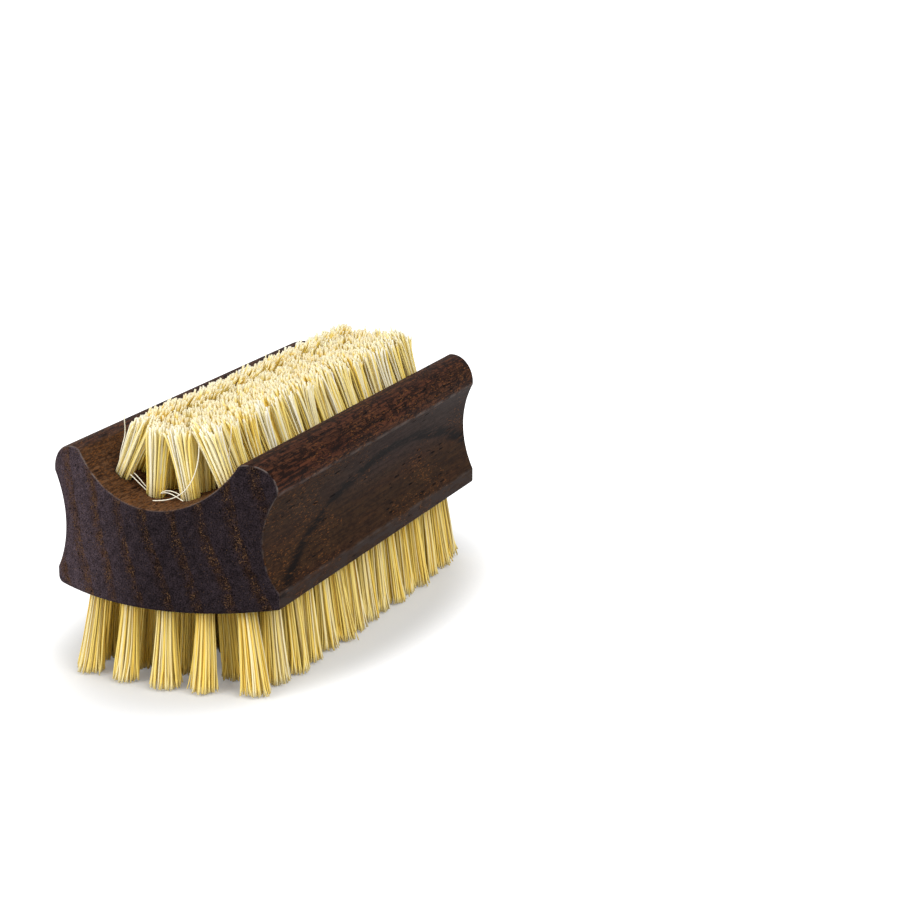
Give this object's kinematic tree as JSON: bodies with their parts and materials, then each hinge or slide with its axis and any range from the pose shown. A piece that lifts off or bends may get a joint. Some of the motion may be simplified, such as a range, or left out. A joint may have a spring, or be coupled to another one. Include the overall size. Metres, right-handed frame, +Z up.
{
  "type": "nail brush",
  "caption": "Two-sided wooden nail brush with finger grooves, long bristle tufts below and shorter tufts in a trough on top.",
  "frame": {"origin": "under the middle of the brush, in the plane of the trimmed lower tuft tips", "axes": "+X along the brush's length, +Y across it, +Z up towards the trough and the upper tufts"},
  "size_m": [0.095, 0.0412, 0.0448],
  "materials": {
    "wood": "dark stained open-pored hardwood, satin",
    "fibre": "stiff pale yellow plant fibre, lightly glossy",
    "anchor_wire": "flat drawn wire"
  },
  "bodies": {
    "root": {"wooden_body": "wood", "lower_tuft_row_01": "fibre", "lower_tuft_row_02": "fibre", "lower_tuft_row_03": "fibre", "lower_tuft_row_04": "fibre", "lower_tuft_row_05": "fibre", "lower_tuft_row_06": "fibre", "lower_tuft_row_07": "fibre", "lower_tuft_row_08": "fibre", "lower_tuft_row_09": "fibre", "lower_tuft_row_10": "fibre", "lower_tuft_row_11": "fibre", "lower_tuft_row_12": "fibre", "lower_tuft_row_13": "fibre", "lower_tuft_row_14": "fibre", "lower_tuft_row_15": "fibre", "upper_tuft_row_01": "fibre", "upper_tuft_row_02": "fibre", "upper_tuft_row_03": "fibre", "upper_tuft_row_04": "fibre", "upper_tuft_row_05": "fibre", "upper_tuft_row_06": "fibre", "upper_tuft_row_07": "fibre", "upper_tuft_row_08": "fibre", "upper_tuft_row_09": "fibre", "upper_tuft_row_10": "fibre", "upper_tuft_row_11": "fibre", "upper_tuft_row_12": "fibre", "upper_tuft_row_13": "fibre", "upper_tuft_row_14": "fibre", "upper_tuft_row_15": "fibre", "lower_anchor_column_1": "anchor_wire", "lower_anchor_column_2": "anchor_wire", "lower_anchor_column_3": "anchor_wire", "lower_anchor_column_4": "anchor_wire", "lower_anchor_column_5": "anchor_wire", "upper_anchor_column_1": "anchor_wire", "upper_anchor_column_2": "anchor_wire", "upper_anchor_column_3": "anchor_wire", "upper_anchor_column_4": "anchor_wire"}
  },
  "joints": []
}
